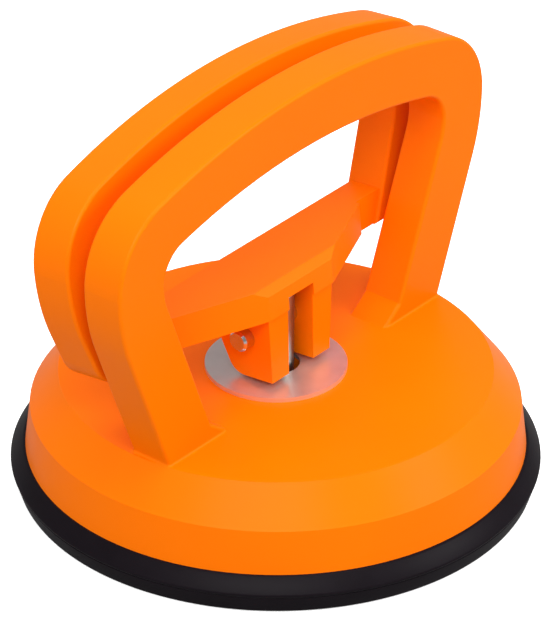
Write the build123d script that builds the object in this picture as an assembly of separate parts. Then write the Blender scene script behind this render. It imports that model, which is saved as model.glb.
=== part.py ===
from build123d import *
import os
from math import atan2, cos, hypot, pi, radians, sin, sqrt, tan

# Hand-held vacuum suction cup with a squeeze grip. Millimetres, +Z up.
# The origin is on the cup's axis at the sealing face; X runs along the grips
# and the cross pin, Y runs from the fixed grip towards the swinging lever.

# ---- driving dimensions -------------------------------------------------
PAD_D = 118.0  # rubber pad, widest
PAD_SIDE_H = 4.9  # height of the widest place on the pad's side
PAD_FOOT_IN = 1.7  # how far the pad's foot is inside its widest radius
PAD_H = 8.2  # top of the pad, where the housing sits
PAD_LIP = 0.4  # ledge of pad that shows round the housing
SEAL_W = 14.0  # width of the flat sealing ring
DOME_H = 3.2  # height of the hollow under the pad's centre
PAD_CENTRE_T = 4.6  # rubber below the insert
PAD_CENTRE_R = 24.0  # radius of the thick centre
PAD_WEB_T = 4.0  # rubber between centre and rim
PAD_GRIP_W = 2.0  # rim inside the housing's wall
PAD_CENTRE_SLOPE = 2.0

HOUSING_D = 111.0  # housing at its bottom edge
SHOULDER_IN = 1.2  # draft of the side wall, on radius
SHOULDER_Z = 18.3  # height where the side wall meets the cone
CONE_IN = 6.4  # radial run of the cone
HOUSING_TOP = 26.6
WALL_T = 3.0
RIB_COUNT = 8
RIB_T = 2.0
RIB_H = 4.5

HALF_W = 61.9  # grips: half width, outside
GRIP_H = 98.2  # grips: height of the crown
CROWN_R = 168.0
CORNER_R = 18.3
KNEE_R = 44.0
LEAN = 21.4  # lean of the outer leg lines, degrees
IN_HALF_W = 47.5  # opening: half width
IN_H = 84.3  # opening: height of its crown
IN_CROWN_R = 163.0
IN_CORNER_R = 8.0
IN_KNEE_R = 15.0
IN_LEAN = 21.2
FLARE = 4.0  # inner foot flare of the fixed grip
FIXED_FRONT_Y = -8.95
FIXED_T = 10.2
GRIP_EDGE_R = 0.8
FOOT_FILLET_R = 0.6  # fixed grip to housing top

PIN_D = 5.0
PIN_L = 27.0
PIN_CHAMFER = 0.5
PIN_ABOVE_WASHER = 11.1  # pin's axis over the washer, as stored
REST_TILT = 5.7  # lever swung back from fully closed, degrees

LEVER_GAP = 0.55  # lever to fixed grip, fully closed
LEVER_T = 10.0
LOOP_FOOT_R = 9.0  # round outer feet of the lever's loop
LEVER_CUT = 5.9  # underside of the lever's loop, above the pin
PLATE_TOP = 13.5  # all lever heights are above the pin
PLATE_BACK_IN = 1.0
PLATE_END_IN = 4.0  # plate ends, inside the loop's legs
PLATE_FRONT_Y = -7.8
PLATE_NOSE_HALF = 10.8
WING_HALF = 33.0
NOSE_CHAMFER_Y = 1.45
NOSE_CHAMFER_Z = 1.85
SLOT_CLEAR = 0.28  # stud to the slot between the legs, each side
SLOT_TOP = 8.8
LEG_HALF_W = 11.0
LEG_HALF_W_FOOT = 9.9
LEG_FRONT_FOOT_Y = -6.1
LEG_BACK_FOOT_Y = 4.6
LEG_BACK_LEAN = 18.7
LEG_FOOT = -10.2  # flat feet of the legs, below the pin
HEEL_R = 4.0  # rounded heel that rolls over the washer

WASHER_D = 31.4
WASHER_T = 1.0
BORE_CLEAR = 1.35  # stud to housing bore and washer hole, on radius
STUD_D = 7.9
STUD_TOP = 7.2  # stud above the pin
PIN_RUN_CLEAR = 0.05  # pin in the stud's eye, on radius
BOSS_WALL = 3.6
BOSS_DROP = 5.5

INSERT_D = 38.0
INSERT_T = 2.5
NUT_AF = 13.0
NUT_H = 4.0
SPRING_WIRE_D = 1.5
SPRING_CLEAR = 0.8  # spring to boss, on radius
SPRING_TURNS = 4.5
SPRING_SEAT_T = 0.8
SEAT_EDGE = 1.2  # seat beyond the spring, on radius
RIB_CLEAR = 0.8  # ribs to the spring seat
TOUCH = 0.03  # air between parts that only touch

# ---- sizes that follow ---------------------------------------------------
pad_r = PAD_D / 2
housing_r = HOUSING_D / 2
shoulder_r = housing_r - SHOULDER_IN
top_r = shoulder_r - CONE_IN
ceiling_z = HOUSING_TOP - WALL_T
washer_top = HOUSING_TOP + WASHER_T
pin_z = washer_top + PIN_ABOVE_WASHER
slot_w = STUD_D + 2 * SLOT_CLEAR
bore_r = STUD_D / 2 + BORE_CLEAR
boss_r = bore_r + BOSS_WALL
boss_low_z = ceiling_z - BOSS_DROP
seat_r = boss_r + SPRING_CLEAR + SPRING_WIRE_D + SEAT_EDGE
insert_low_z = DOME_H + PAD_CENTRE_T
insert_top_z = insert_low_z + INSERT_T
seat_low_z = ceiling_z - SPRING_SEAT_T
lever_front_y = FIXED_FRONT_Y + FIXED_T + LEVER_GAP
lever_back_y = lever_front_y + LEVER_T


def mirror_x(points):
    """The same points on the -X side, in reverse order."""
    return [(-x, z) for x, z in reversed(points)]


def grip_half(half_w, height, crown_r, corner_r, knee_r, lean, low_z):
    """Right half of a grip outline: foot, knee start, knee end, corner end, crown."""
    corner_x = half_w - corner_r
    crown_z = height - crown_r
    corner_z = crown_z + sqrt((crown_r - corner_r) ** 2 - corner_x**2)
    slope = radians(lean)
    knee_x = half_w - knee_r
    start = (knee_x + knee_r * cos(slope), corner_z - knee_r * sin(slope))
    foot = (start[0] - (start[1] - low_z) * tan(slope), low_z)
    turn = atan2(corner_z - crown_z, corner_x)
    tangent = (crown_r * cos(turn), crown_z + crown_r * sin(turn))
    return {
        "foot": foot,
        "start": start,
        "knee_mid": (
            knee_x + knee_r * cos(slope / 2),
            corner_z - knee_r * sin(slope / 2),
        ),
        "side": (half_w, corner_z),
        "corner_mid": (
            corner_x + corner_r * cos(turn / 2),
            corner_z + corner_r * sin(turn / 2),
        ),
        "tangent": tangent,
        "crown": (0, height),
    }


def flip(point):
    return (-point[0], point[1])


def grip_wire(half, first):
    """Closed outline from its right half; first lists the points before the knee."""
    right = [*first, half["start"]]
    edges = [Line(a, b) for a, b in zip(right, right[1:])]
    edges.append(ThreePointArc(half["start"], half["knee_mid"], half["side"]))
    edges.append(ThreePointArc(half["side"], half["corner_mid"], half["tangent"]))
    edges.append(ThreePointArc(half["tangent"], half["crown"], flip(half["tangent"])))
    edges.append(
        ThreePointArc(flip(half["tangent"]), flip(half["corner_mid"]), flip(half["side"]))
    )
    edges.append(
        ThreePointArc(flip(half["side"]), flip(half["knee_mid"]), flip(half["start"]))
    )
    left = [flip(point) for point in reversed(right)]
    edges += [Line(a, b) for a, b in zip(left, left[1:])]
    edges.append(Line(left[-1], right[0]))
    return Wire(edges)


def grip_body(outer_wire, inner_wire, front_y, thick):
    """The slab between two outlines, from front_y backwards, with softened edges."""
    plane = Plane(origin=(0, front_y + thick, 0), x_dir=(1, 0, 0), z_dir=(0, -1, 0))
    ring = plane * (Face(outer_wire) - Face(inner_wire))
    return extrude(ring, amount=thick)


def soften(solid, radius, lowest_z):
    """Round the front and back outline edges that are wholly above lowest_z."""
    faces = solid.faces().filter_by(Axis.Y)
    edges = [edge for face in faces for edge in face.edges()]
    high = [edge for edge in edges if edge.bounding_box().min.Z > lowest_z]
    return fillet(high, radius)


def revolve_profile(points):
    outline = Polyline(*points, close=True)
    return revolve(Plane.XZ * Face(Wire(outline.edges())), Axis.Z)


def tube(outer_r, inner_r, low_z, high_z):
    body = Cylinder(outer_r, high_z - low_z) - Cylinder(inner_r, 2 * (high_z - low_z))
    return Pos(0, 0, (low_z + high_z) / 2) * body


outer = grip_half(HALF_W, GRIP_H, CROWN_R, CORNER_R, KNEE_R, LEAN, HOUSING_TOP - 1)
inner = grip_half(
    IN_HALF_W, IN_H, IN_CROWN_R, IN_CORNER_R, IN_KNEE_R, IN_LEAN, HOUSING_TOP + FLARE
)


# ---- housing with its fixed grip: one moulding ---------------------------
def make_housing():
    shell = revolve_profile(
        [
            (bore_r, HOUSING_TOP),
            (top_r, HOUSING_TOP),
            (shoulder_r, SHOULDER_Z),
            (housing_r, PAD_H),
            (housing_r - WALL_T, PAD_H),
            (shoulder_r - WALL_T, SHOULDER_Z - WALL_T / 2),
            (top_r - WALL_T / 2, ceiling_z),
            (boss_r, ceiling_z),
            (boss_r, boss_low_z),
            (bore_r, boss_low_z),
        ]
    )
    rib_in = seat_r + RIB_CLEAR
    rib_out = shoulder_r - WALL_T
    rib_box = Box(rib_out - rib_in, RIB_T, RIB_H + WALL_T / 2)
    rib = Pos((rib_in + rib_out) / 2, 0, ceiling_z - RIB_H / 2 + WALL_T / 4) * rib_box
    inside = WALL_T / 2
    cone = revolve_profile(
        [
            (0, HOUSING_TOP - inside),
            (top_r - inside, HOUSING_TOP - inside),
            (shoulder_r - inside, SHOULDER_Z),
            (shoulder_r - inside, PAD_H),
            (0, PAD_H),
        ]
    )
    for i in range(RIB_COUNT):
        shell += Rot(0, 0, 360 / RIB_COUNT * (i + 0.5)) * rib & cone
    low_x = inner["foot"][0] - FLARE * tan(radians(IN_LEAN))
    flare_foot = (low_x - FLARE, HOUSING_TOP - 1)
    opening = grip_wire(inner, [flare_foot, (low_x - FLARE, HOUSING_TOP), inner["foot"]])
    arch = grip_body(grip_wire(outer, [outer["foot"]]), opening, FIXED_FRONT_Y, FIXED_T)
    arch = soften(arch, GRIP_EDGE_R, HOUSING_TOP - 0.5)
    housing = shell + arch
    at_top = housing.edges().filter_by_position(Axis.Z, HOUSING_TOP - 0.01, HOUSING_TOP + 0.01)
    seam = [
        edge
        for edge in at_top
        if edge.geom_type == GeomType.LINE and hypot(edge.center().X, edge.center().Y) < top_r
    ]
    return fillet(seam, FOOT_FILLET_R)


# ---- lever: loop, cross plate and two cam legs, one moulding ---------------
def prism_x(points, half_len):
    """Solid along X with a closed outline of (y, z) points."""
    outline = Polyline(*[(0, y, z) for y, z in points], close=True)
    return extrude(Face(Wire(outline.edges())), amount=half_len, dir=(1, 0, 0), both=True)


def prism_y(points, half_len):
    """Solid along Y with a closed outline of (x, z) points."""
    outline = Polyline(*[(x, 0, z) for x, z in points], close=True)
    return extrude(Face(Wire(outline.edges())), amount=half_len, dir=(0, 1, 0), both=True)


def make_loop():
    cut_z = pin_z + LEVER_CUT
    around = grip_half(HALF_W, GRIP_H, CROWN_R, CORNER_R, KNEE_R, LEAN, cut_z)
    hole = grip_half(IN_HALF_W, IN_H, IN_CROWN_R, IN_CORNER_R, IN_KNEE_R, IN_LEAN, cut_z - 1)
    loop = grip_body(
        grip_wire(around, [around["foot"]]),
        grip_wire(hole, [hole["foot"]]),
        lever_front_y,
        LEVER_T,
    )
    upright = loop.edges().filter_by(Axis.Y).filter_by_position(Axis.Z, cut_z - 0.1, cut_z + 0.1)
    feet = upright.sort_by(Axis.X)
    loop = fillet([feet[0], feet[-1]], LOOP_FOOT_R)
    return soften(loop, GRIP_EDGE_R, cut_z - 0.5)


def make_plate():
    plate_x = IN_HALF_W - PLATE_END_IN
    back_y = lever_back_y - PLATE_BACK_IN
    inside_y = lever_front_y + 1
    corners = [
        (plate_x, back_y),
        (plate_x, inside_y),
        (WING_HALF, inside_y),
        (WING_HALF, lever_front_y),
        (PLATE_NOSE_HALF, PLATE_FRONT_Y),
    ]
    outline = Polyline(*corners, *mirror_x(corners), close=True)
    plate = Pos(0, 0, pin_z + LEVER_CUT) * Face(Wire(outline.edges()))
    plate = extrude(plate, amount=PLATE_TOP - LEVER_CUT, dir=(0, 0, 1))
    low = (PLATE_FRONT_Y, pin_z + PLATE_TOP - NOSE_CHAMFER_Z)
    high = (PLATE_FRONT_Y + NOSE_CHAMFER_Y, pin_z + PLATE_TOP)
    past = (2 * low[0] - high[0], 2 * low[1] - high[1])
    above = (2 * high[0] - low[0], 2 * high[1] - low[1])
    return plate - prism_x([past, above, (past[0], above[1])], HALF_W)


def make_legs():
    joint_z = LEVER_CUT + 2
    rise = joint_z - LEG_FOOT
    back_top_y = LEG_BACK_FOOT_Y + rise * tan(radians(LEG_BACK_LEAN))
    front_slope = (LEG_FRONT_FOOT_Y - PLATE_FRONT_Y) / (PLATE_TOP - NOSE_CHAMFER_Z - LEG_FOOT)
    front_top_y = LEG_FRONT_FOOT_Y - front_slope * rise
    side = prism_x(
        [
            (LEG_FRONT_FOOT_Y, pin_z + LEG_FOOT),
            (LEG_BACK_FOOT_Y, pin_z + LEG_FOOT),
            (back_top_y, pin_z + joint_z),
            (front_top_y, pin_z + joint_z),
        ],
        LEG_HALF_W,
    )
    heel = side.edges().filter_by(Axis.X).sort_by(Axis.Z)[:2].sort_by(Axis.Y)[-1]
    side = fillet(heel, HEEL_R)
    right = [(LEG_HALF_W_FOOT, pin_z + LEG_FOOT), (LEG_HALF_W, pin_z + joint_z)]
    left = mirror_x(right)
    return side & prism_y([*right, *left], 2 * LEVER_T)


def make_lever():
    """The lever fully closed, then swung back to its stored place."""
    whole = make_loop() + make_plate() + make_legs()
    slot_h = SLOT_TOP - LEG_FOOT + 5
    whole -= Pos(0, 0, pin_z + SLOT_TOP - slot_h / 2) * Box(slot_w, 4 * LEVER_T, slot_h)
    whole -= Pos(0, 0, pin_z) * Rot(0, 90, 0) * Cylinder(PIN_D / 2, 4 * LEG_HALF_W)
    pin_axis = Axis((0, 0, pin_z), (1, 0, 0))
    return whole.rotate(pin_axis, -REST_TILT)


def make_cross_pin():
    pin = Cylinder(PIN_D / 2, PIN_L)
    pin = chamfer(pin.edges().filter_by(GeomType.CIRCLE), PIN_CHAMFER)
    return Pos(0, 0, pin_z) * Rot(0, 90, 0) * pin


# ---- washer, stud and what they hold -------------------------------------
def make_thrust_washer():
    return tube(WASHER_D / 2, bore_r, HOUSING_TOP, washer_top)


def make_draw_stud():
    """Round stud with a flat-topped eye for the pin; its foot ends under the insert."""
    top = pin_z + STUD_TOP
    stud = Pos(0, 0, (top + insert_low_z) / 2) * Cylinder(STUD_D / 2, top - insert_low_z)
    stud = chamfer(stud.edges().filter_by(GeomType.CIRCLE).sort_by(Axis.Z)[-1], PIN_CHAMFER)
    eye = Cylinder(PIN_D / 2 + PIN_RUN_CLEAR, 2 * STUD_D)
    return stud - Pos(0, 0, pin_z) * Rot(0, 90, 0) * eye


def make_insert_disc():
    return tube(INSERT_D / 2, STUD_D / 2, insert_low_z, insert_top_z)


def make_jam_nut():
    hexagon = RegularPolygon(NUT_AF / 2, 6, major_radius=False)
    nut = extrude(hexagon, amount=NUT_H) - Cylinder(STUD_D / 2, 4 * NUT_H)
    corner_r = NUT_AF / 2 / cos(pi / 6)
    top_at_origin = (Align.CENTER, Align.CENTER, Align.MAX)
    bevel = Cone(corner_r + NUT_H, NUT_AF / 2, NUT_H * 2, align=top_at_origin)
    nut &= Pos(0, 0, NUT_H) * bevel
    return Pos(0, 0, insert_top_z) * nut


def make_spring_seat():
    return tube(seat_r, boss_r + TOUCH, seat_low_z, ceiling_z)


def make_return_spring():
    wire_r = SPRING_WIRE_D / 2
    coil_r = boss_r + SPRING_CLEAR + wire_r
    low_z = insert_top_z + wire_r + TOUCH
    high_z = seat_low_z - wire_r - TOUCH
    path = Helix((high_z - low_z) / SPRING_TURNS, high_z - low_z, coil_r)
    section = Plane(origin=path @ 0, z_dir=path % 0) * Circle(wire_r)
    return Pos(0, 0, low_z) * sweep(section, path, is_frenet=True)


# ---- rubber pad -----------------------------------------------------------
def make_rubber_pad():
    """Disc with a raised rim, a sealing ring underneath and a hollow inside the ring."""
    insert_r = INSERT_D / 2
    seal_in = pad_r - PAD_FOOT_IN - SEAL_W
    web_out = housing_r - WALL_T - PAD_GRIP_W
    return revolve_profile(
        [
            (0, DOME_H),
            (PAD_CENTRE_R, DOME_H),
            (seal_in, 0),
            (pad_r - PAD_FOOT_IN, 0),
            (pad_r, PAD_SIDE_H),
            (housing_r + PAD_LIP, PAD_H),
            (web_out, PAD_H),
            (seal_in, PAD_WEB_T),
            (PAD_CENTRE_R + PAD_CENTRE_SLOPE, insert_low_z + 1.0),
            (PAD_CENTRE_R, insert_top_z),
            (insert_r, insert_top_z),
            (insert_r, insert_low_z),
            (0, insert_low_z),
        ]
    )


NODES = {
    "housing": make_housing,
    "lever": make_lever,
    "cross_pin": make_cross_pin,
    "thrust_washer": make_thrust_washer,
    "draw_stud": make_draw_stud,
    "insert_disc": make_insert_disc,
    "jam_nut": make_jam_nut,
    "spring_seat": make_spring_seat,
    "return_spring": make_return_spring,
    "rubber_pad": make_rubber_pad,
}

os.makedirs("parts", exist_ok=True)
for node, make in NODES.items():
    export_step(make(), f"parts/{node}.step")
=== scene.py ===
from math import cos, pi, radians, sin

import bmesh
import bpy
from mathutils import Matrix, Vector


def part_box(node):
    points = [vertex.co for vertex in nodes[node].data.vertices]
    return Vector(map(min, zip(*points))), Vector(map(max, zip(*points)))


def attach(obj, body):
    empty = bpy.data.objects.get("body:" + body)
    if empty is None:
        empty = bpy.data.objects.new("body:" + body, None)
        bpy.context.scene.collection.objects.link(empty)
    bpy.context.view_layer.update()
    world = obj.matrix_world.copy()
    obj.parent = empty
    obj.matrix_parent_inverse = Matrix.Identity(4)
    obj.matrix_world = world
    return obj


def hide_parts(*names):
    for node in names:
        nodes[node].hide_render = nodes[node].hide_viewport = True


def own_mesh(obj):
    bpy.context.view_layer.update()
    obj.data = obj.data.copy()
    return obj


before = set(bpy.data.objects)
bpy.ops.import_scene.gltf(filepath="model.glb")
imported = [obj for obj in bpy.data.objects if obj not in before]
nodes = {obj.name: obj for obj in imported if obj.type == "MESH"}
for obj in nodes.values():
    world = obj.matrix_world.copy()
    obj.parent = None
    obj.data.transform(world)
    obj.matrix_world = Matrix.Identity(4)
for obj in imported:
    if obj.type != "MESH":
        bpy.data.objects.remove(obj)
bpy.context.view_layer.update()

MM = 0.001


# ---- places that come from the frame --------------------------------------
pad_low, pad_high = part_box("rubber_pad")
housing_low, housing_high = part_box("housing")
insert_low, insert_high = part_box("insert_disc")
# millimetres, for the pad's sections below
PAD_R = (pad_high[0] - pad_low[0]) / 2 / MM
HOUSING_R = (housing_high[1] - housing_low[1]) / 2 / MM
INSERT_R = (insert_high[0] - insert_low[0]) / 2 / MM
INSERT_LOW = insert_low[2] / MM
INSERT_TOP = insert_high[2] / MM
PAD_H = housing_low[2] / MM
FOOT_IN = 1.7  # pad's foot, inside its widest radius
SEAL_W = 14.0  # width of the sealing ring
FOOT_R = PAD_R - FOOT_IN
SEAL_IN = FOOT_R - SEAL_W


# ---- colours and node helpers ----------------------------------------------
def colour(code):
    """An sRGB hex colour as linear RGBA."""
    parts = [int(code[i : i + 2], 16) / 255 for i in (1, 3, 5)]
    linear = [c / 12.92 if c <= 0.04045 else ((c + 0.055) / 1.055) ** 2.4 for c in parts]
    return (*linear, 1.0)


def new_material(name):
    """(material, its node tree, its Principled shader)."""
    material = bpy.data.materials.new(name)
    material.use_nodes = True
    tree = material.node_tree
    return material, tree, tree.nodes["Principled BSDF"]


def add(tree, kind, inputs=None, **settings):
    """One shader node, with its settings, and inputs that are values or sockets."""
    node = tree.nodes.new(kind)
    for key, value in settings.items():
        setattr(node, key, value)
    for key, value in (inputs or {}).items():
        socket = node.inputs[key]
        if isinstance(value, bpy.types.NodeSocket):
            tree.links.new(value, socket)
        else:
            socket.default_value = value
    return node


def object_coords(tree):
    return add(tree, "ShaderNodeTexCoord").outputs["Object"]


def noise(tree, coords, size_mm, detail=3.0, roughness=0.5):
    """Noise whose features are about size_mm across."""
    inputs = {"Vector": coords, "Scale": 1 / (size_mm * MM), "Detail": detail}
    inputs["Roughness"] = roughness
    return add(tree, "ShaderNodeTexNoise", inputs).outputs["Fac"]


def spread(tree, value, low, high):
    """A 0 to 1 value spread over low to high."""
    inputs = {"Value": value, "To Min": low, "To Max": high}
    return add(tree, "ShaderNodeMapRange", inputs).outputs["Result"]


def blend_colours(tree, factor, first, second):
    mix = add(tree, "ShaderNodeMix", data_type="RGBA")
    tree.links.new(factor, mix.inputs[0])
    mix.inputs[6].default_value = colour(first)
    mix.inputs[7].default_value = colour(second)
    return mix.outputs[2]


def bump(tree, height, depth_mm):
    inputs = {"Height": height, "Distance": depth_mm * MM, "Strength": 1.0}
    return add(tree, "ShaderNodeBump", inputs).outputs["Normal"]


# ---- materials ---------------------------------------------------------------
def orange_abs_moulding():
    """Injection-moulded orange ABS: an even, saturated colour with a satin gloss."""
    material, tree, shader = new_material("orange_abs_moulding")
    coords = object_coords(tree)
    # slow drift of the colour through the thick and thin places of the moulding
    drift = noise(tree, coords, 30.0, 2.0)
    tint = blend_colours(tree, drift, "#ff7300", "#ff7b00")
    tree.links.new(tint, shader.inputs["Base Color"])
    # fine mould texture breaks the highlight up a little
    grain = noise(tree, coords, 0.35, 2.0)
    tree.links.new(bump(tree, grain, 0.004), shader.inputs["Normal"])
    # handling marks make the gloss uneven
    wear = noise(tree, coords, 7.0, 4.0, 0.6)
    tree.links.new(spread(tree, wear, 0.3, 0.38), shader.inputs["Roughness"])
    shader.inputs["Specular IOR Level"].default_value = 0.06
    return material


def moulded_rubber():
    """Black moulded rubber: nearly black, soft sheen, faint bloom."""
    material, tree, shader = new_material("moulded_black_rubber")
    coords = object_coords(tree)
    bloom = noise(tree, coords, 11.0, 4.0, 0.6)
    tree.links.new(blend_colours(tree, bloom, "#120d11", "#1a151b"), shader.inputs["Base Color"])
    skin = noise(tree, coords, 0.5, 3.0)
    tree.links.new(bump(tree, skin, 0.01), shader.inputs["Normal"])
    tree.links.new(spread(tree, bloom, 0.34, 0.46), shader.inputs["Roughness"])
    shader.inputs["Specular IOR Level"].default_value = 0.07
    return material


def polished_washer_steel():
    """Stamped stainless washer: fine turning lines and scuffs spread the reflections."""
    material, tree, shader = new_material("polished_washer_steel")
    coords = object_coords(tree)
    tint = noise(tree, coords, 4.0, 2.0)
    tree.links.new(blend_colours(tree, tint, "#dcd8d6", "#ece9e6"), shader.inputs["Base Color"])
    shader.inputs["Metallic"].default_value = 0.8
    radius = add(tree, "ShaderNodeVectorMath", {0: coords}, operation="MULTIPLY")
    radius.inputs[1].default_value = (1.0, 1.0, 0.0)
    length = add(tree, "ShaderNodeVectorMath", {0: radius.outputs[0]}, operation="LENGTH")
    lines = add(tree, "ShaderNodeTexNoise", {"W": length.outputs["Value"]}, noise_dimensions="1D")
    lines.inputs["Scale"].default_value = 1 / (0.25 * MM)
    tree.links.new(bump(tree, lines.outputs["Fac"], 0.002), shader.inputs["Normal"])
    scuffs = noise(tree, coords, 2.0, 4.0)
    tree.links.new(spread(tree, scuffs, 0.3, 0.42), shader.inputs["Roughness"])
    return material


def bright_pin_steel():
    """Turned steel pin with a bright plating."""
    material, tree, shader = new_material("bright_turned_pin_steel")
    coords = object_coords(tree)
    tint = noise(tree, coords, 1.5, 2.0)
    tree.links.new(blend_colours(tree, tint, "#c9c9cc", "#dededf"), shader.inputs["Base Color"])
    shader.inputs["Metallic"].default_value = 1.0
    tree.links.new(spread(tree, tint, 0.12, 0.24), shader.inputs["Roughness"])
    return material


def zinc_plated_steel():
    """Zinc-plated steel: grey with a faint blotchy passivation."""
    material, tree, shader = new_material("zinc_plated_steel")
    coords = object_coords(tree)
    blotch = noise(tree, coords, 1.8, 4.0, 0.6)
    tree.links.new(blend_colours(tree, blotch, "#8d8c8a", "#a9a7a2"), shader.inputs["Base Color"])
    shader.inputs["Metallic"].default_value = 1.0
    tree.links.new(spread(tree, blotch, 0.28, 0.45), shader.inputs["Roughness"])
    return material


def paint(obj, material):
    obj.data.materials.clear()
    obj.data.materials.append(material)


# ---- camera -------------------------------------------------------------------
CAMERA_AZIMUTH = radians(-50.92)
CAMERA_ELEVATION = radians(30.6)
CAMERA_DISTANCE = 1.0529
CAMERA_ROLL = 0.0041
CAMERA_TARGET = Vector((0, 0, 0.0406))
FOCAL_LENGTH = 279.5


def make_camera():
    data = bpy.data.cameras.new("camera")
    data.sensor_width = 36
    data.lens = FOCAL_LENGTH
    data.shift_x = -0.0021
    data.shift_y = -0.0006
    data.clip_end = 20
    camera = bpy.data.objects.new("camera", data)
    bpy.context.scene.collection.objects.link(camera)
    outward = Vector(
        (
            sin(CAMERA_AZIMUTH) * cos(CAMERA_ELEVATION),
            -cos(CAMERA_AZIMUTH) * cos(CAMERA_ELEVATION),
            sin(CAMERA_ELEVATION),
        )
    )
    camera.location = CAMERA_TARGET + outward * CAMERA_DISTANCE
    aim = (-outward).to_track_quat("-Z", "Y").to_matrix()
    camera.rotation_euler = (aim @ Matrix.Rotation(CAMERA_ROLL, 3, "Z")).to_euler()
    bpy.context.scene.camera = camera


# ---- floor and light -------------------------------------------------------------
FLOOR_GLOW = 0.6  # lift of the floor's shadow towards white
STUDIO_LEVEL = 0.72  # light from the surroundings
STUDIO_GLOSS = 0.3  # how bright they are in reflections


def make_floor():
    """Pale floor: white to the camera with the object's shadow kept, greyer to bounced light."""
    bm = bmesh.new()
    bmesh.ops.create_grid(bm, x_segments=1, y_segments=1, size=3.0)
    mesh = bpy.data.meshes.new("studio_floor")
    bm.to_mesh(mesh)
    bm.free()
    floor = bpy.data.objects.new("studio_floor", mesh)
    floor.location.z = -0.0002
    bpy.context.scene.collection.objects.link(floor)
    material, tree, shader = new_material("pale_studio_floor")
    rays = add(tree, "ShaderNodeLightPath")
    seen = rays.outputs["Is Camera Ray"]
    tree.links.new(blend_colours(tree, seen, "#a8a8a8", "#ffffff"), shader.inputs["Base Color"])
    shader.inputs["Roughness"].default_value = 0.9
    shader.inputs["Specular IOR Level"].default_value = 0.0
    shader.inputs["Emission Color"].default_value = (1, 1, 1, 1)
    glow = add(tree, "ShaderNodeMath", {0: seen, 1: FLOOR_GLOW}, operation="MULTIPLY")
    tree.links.new(glow.outputs[0], shader.inputs["Emission Strength"])
    paint(floor, material)


def make_world():
    """White to the camera, a plain grey studio to everything else."""
    world = bpy.data.worlds.new("studio")
    bpy.context.scene.world = world
    world.use_nodes = True
    tree = world.node_tree
    background = tree.nodes["Background"]
    background.inputs["Color"].default_value = (1, 1, 1, 1)
    rays = add(tree, "ShaderNodeLightPath")
    matt = spread(tree, rays.outputs["Is Glossy Ray"], STUDIO_LEVEL, STUDIO_GLOSS)
    level = add(tree, "ShaderNodeMapRange", {"Value": rays.outputs["Is Camera Ray"]})
    tree.links.new(matt, level.inputs["To Min"])
    level.inputs["To Max"].default_value = 1.0
    tree.links.new(level.outputs["Result"], background.inputs["Strength"])


def soft_box(name, azimuth, elevation, distance, width, height, watts):
    """Rectangular lamp facing the object, placed by azimuth and elevation."""
    data = bpy.data.lights.new(name, "AREA")
    data.shape = "RECTANGLE"
    data.size = width
    data.size_y = height
    data.energy = watts
    lamp = bpy.data.objects.new(name, data)
    bpy.context.scene.collection.objects.link(lamp)
    a = radians(azimuth)
    e = radians(elevation)
    outward = Vector((sin(a) * cos(e), -cos(a) * cos(e), sin(e)))
    lamp.location = Vector((0, 0, 0.04)) + outward * distance
    lamp.rotation_euler = (-outward).to_track_quat("-Z", "Y").to_euler()


# ---- pieces ------------------------------------------------------------------------
DOME_H = 3.2  # hollow under the pad's centre
CENTRE_R = 24.0
WEB_T = 4.0
GROOVE_W = 1.4  # grooves moulded into the sealing ring
GROOVE_H = 0.5
GROOVE_SLOPE = 0.4
SEAL_GROOVES = (9.7, 5.7)  # outer edges, inside the foot's radius
CENTRE_GROOVE_R = 12.2
TURN_STEPS = 180
BEVEL_SEGMENTS = 3
SHARP_ANGLE = radians(35)
RING_TOLERANCE = 2e-6  # metres


def groove(outer_r, base):
    """Corner points of one round groove in the underside, from inside to outside."""
    inner_r = outer_r - GROOVE_W
    return [
        (inner_r, base, 0.15),
        (inner_r + GROOVE_SLOPE, base + GROOVE_H, 0.1),
        (outer_r - GROOVE_SLOPE, base + GROOVE_H, 0.1),
        (outer_r, base, 0.15),
    ]


# each point is radius, height and corner rounding, round the section
RIM_PROFILE = [
    (SEAL_IN, 0.0, 0.0),
    *groove(FOOT_R - SEAL_GROOVES[0], 0.0),
    *groove(FOOT_R - SEAL_GROOVES[1], 0.0),
    (FOOT_R, 0.0, 0.5),
    (PAD_R - 0.45, 4.05, 0.1),
    (PAD_R - 0.6, 4.25, 0.0),
    (PAD_R - 0.35, 4.45, 0.1),
    (PAD_R, 4.9, 0.45),
    (HOUSING_R + 0.4, PAD_H, 0.4),
    (HOUSING_R - 5.0, PAD_H, 0.6),
    (SEAL_IN, WEB_T, 0.0),
]
CENTRE_PROFILE = [
    (0.0, DOME_H, 0.0),
    *groove(CENTRE_GROOVE_R, DOME_H),
    (CENTRE_R, DOME_H, 1.2),
    (SEAL_IN, 0.0, 0.0),
    (SEAL_IN, WEB_T, 0.0),
    (CENTRE_R + 2.0, INSERT_LOW + 1.0, 0.6),
    (CENTRE_R, INSERT_TOP, 0.5),
    (INSERT_R, INSERT_TOP, 0.0),
    (INSERT_R, INSERT_LOW, 0.0),
    (0.0, INSERT_LOW, 0.0),
]


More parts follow.
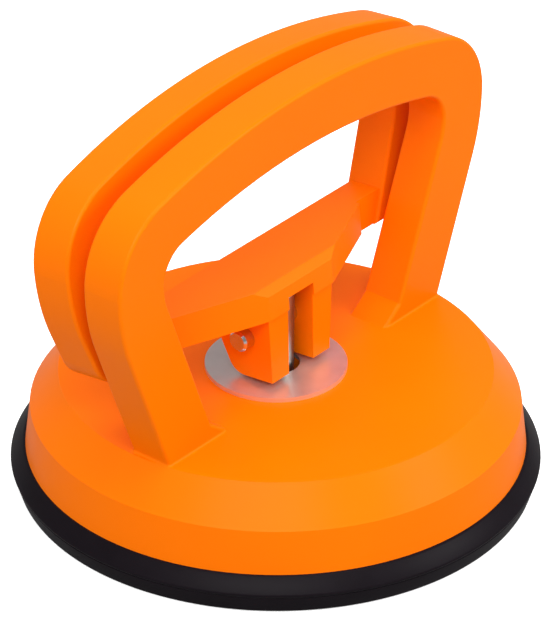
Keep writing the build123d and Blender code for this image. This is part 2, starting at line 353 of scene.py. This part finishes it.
def turned_piece(name, profile):
    """A closed section spun round the cup's axis, with its ring edges rounded."""
    bm = bmesh.new()
    ring = [bm.verts.new((r * MM, 0, z * MM)) for r, z, _ in profile]
    for edge in [bm.edges.new(pair) for pair in zip(ring, ring[1:] + ring[:1])]:
        if on_axis(edge):
            bm.edges.remove(edge)
    bmesh.ops.spin(
        bm,
        geom=bm.verts[:] + bm.edges[:],
        cent=(0, 0, 0),
        axis=(0, 0, 1),
        angle=2 * pi,
        steps=TURN_STEPS,
        use_merge=True,
    )
    bmesh.ops.remove_doubles(bm, verts=bm.verts[:], dist=1e-6)
    for r, z, rounding in profile:
        if rounding > 0:
            edges = [e for e in bm.edges if is_ring(e, r * MM, z * MM)]
            bmesh.ops.bevel(
                bm,
                geom=edges,
                offset=rounding * MM,
                affect="EDGES",
                segments=BEVEL_SEGMENTS,
                profile=0.5,
                material=-1,
            )
    bmesh.ops.recalc_face_normals(bm, faces=bm.faces[:])
    mesh = bpy.data.meshes.new(name)
    bm.to_mesh(mesh)
    bm.free()
    mesh.shade_smooth()
    mesh.set_sharp_from_angle(angle=SHARP_ANGLE)
    obj = bpy.data.objects.new(name, mesh)
    bpy.context.scene.collection.objects.link(obj)
    return obj


def on_axis(edge):
    return all(abs(v.co.x) < 1e-7 for v in edge.verts)


def is_ring(edge, r, z):
    """True for an edge that runs round the axis at that radius and height."""
    return all(
        abs(v.co.xy.length - r) < RING_TOLERANCE and abs(v.co.z - z) < RING_TOLERANCE
        for v in edge.verts
    )


rubber = moulded_rubber()
pad_rim = turned_piece("rubber_pad_rim", RIM_PROFILE)
pad_centre = turned_piece("rubber_pad_centre", CENTRE_PROFILE)
for piece in (pad_rim, pad_centre):
    paint(piece, rubber)
    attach(piece, "cup")
    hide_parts("rubber_pad")
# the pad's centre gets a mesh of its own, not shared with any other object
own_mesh(pad_centre)

orange = orange_abs_moulding()
for name in ("housing", "lever"):
    paint(nodes[name], orange)
paint(nodes["thrust_washer"], polished_washer_steel())
paint(nodes["cross_pin"], bright_pin_steel())
zinc = zinc_plated_steel()
for name in ("draw_stud", "insert_disc", "jam_nut", "spring_seat", "return_spring"):
    paint(nodes[name], zinc)

make_camera()
make_floor()
make_world()
soft_box("left_box", -58, 47, 1.2, 0.9, 0.4, 7)
soft_box("right_box", 30, 35, 1.2, 0.55, 0.4, 5)
soft_box("top_box", -30, 85, 1.2, 0.7, 0.7, 4)

scene = bpy.context.scene
scene.view_settings.view_transform = "Standard"
